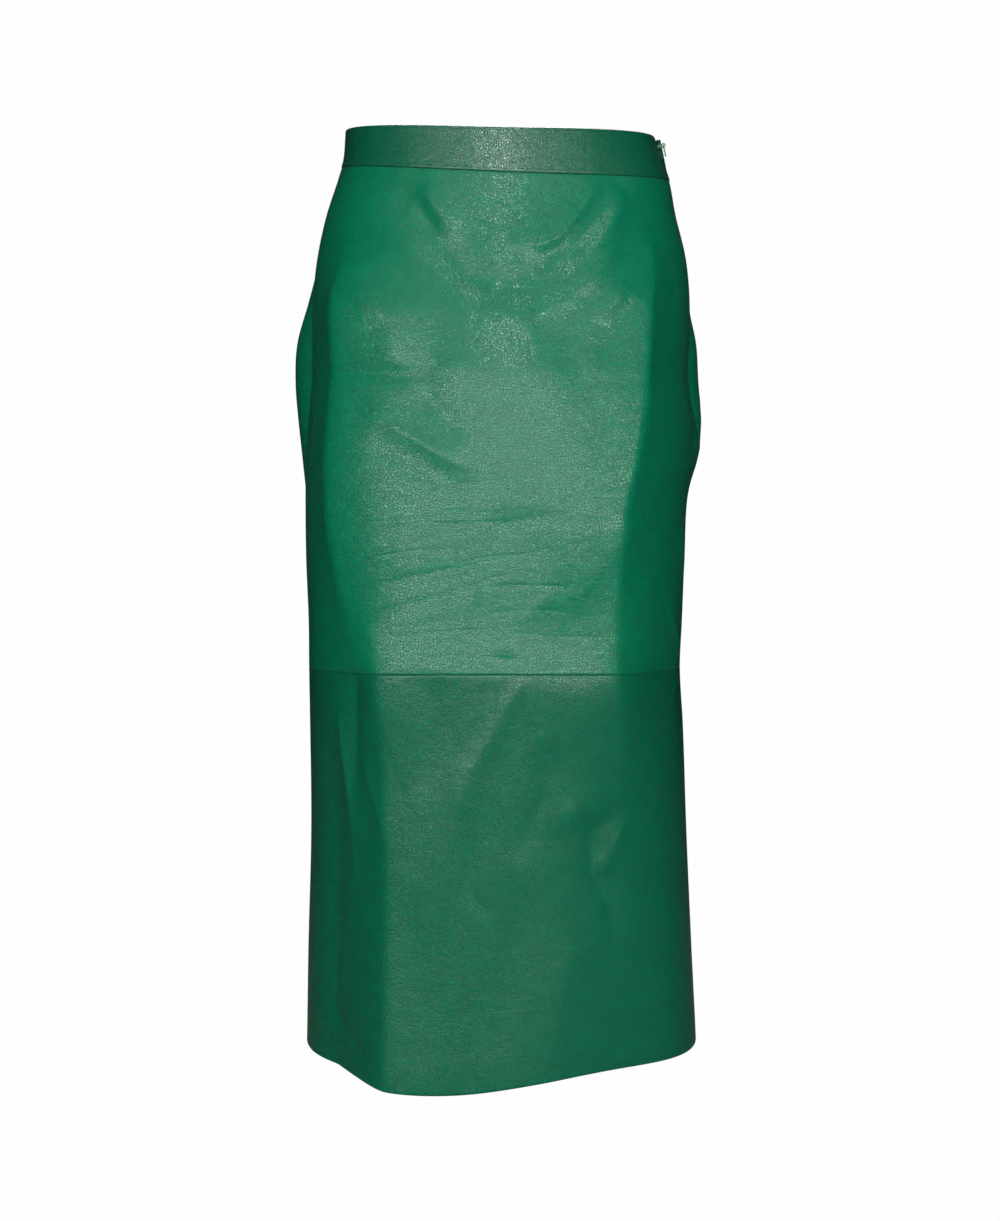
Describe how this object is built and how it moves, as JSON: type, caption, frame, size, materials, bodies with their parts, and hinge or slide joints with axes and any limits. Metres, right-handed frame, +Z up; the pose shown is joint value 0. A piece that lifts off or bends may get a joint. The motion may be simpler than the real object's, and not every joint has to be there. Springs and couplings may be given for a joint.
{
  "type": "leather pencil skirt",
  "caption": "Hollow worn form of a knee-length leather pencil skirt with a plain waistband, a level thigh seam and a concealed side zip.",
  "frame": {"origin": "middle of the waistband's hollow, halfway up the band, where the wearer's waist holds it", "axes": "+Z up along the body, -Y out of the front of the skirt, +X towards the wearer's left side, where the zip is"},
  "size_m": [0.3376, 0.2647, 0.7486],
  "materials": {
    "leather": "smooth dyed nappa with a soft gloss and a fine pebble",
    "zip_tape": "matte woven tape",
    "zip_coil": "dyed nylon coil",
    "zip_metal": "green enamel"
  },
  "bodies": {
    "skirt": {"front_upper": "leather", "back_upper": "leather", "front_lower": "leather", "back_lower": "leather", "waistband_front": "leather", "waistband_back": "leather", "zip_tape_front": "zip_tape", "zip_tape_back": "zip_tape", "zip_coil": "zip_coil", "zip_slider": "zip_metal"},
    "pull": {"zip_pull": "zip_metal"}
  },
  "joints": [
    {"name": "pull_swing", "type": "hinge", "parent": "skirt", "child": "pull", "pos_m": [0.13388, 0, 0.00939], "axis": [0, -1, 0], "range_deg": [0, 150]}
  ]
}
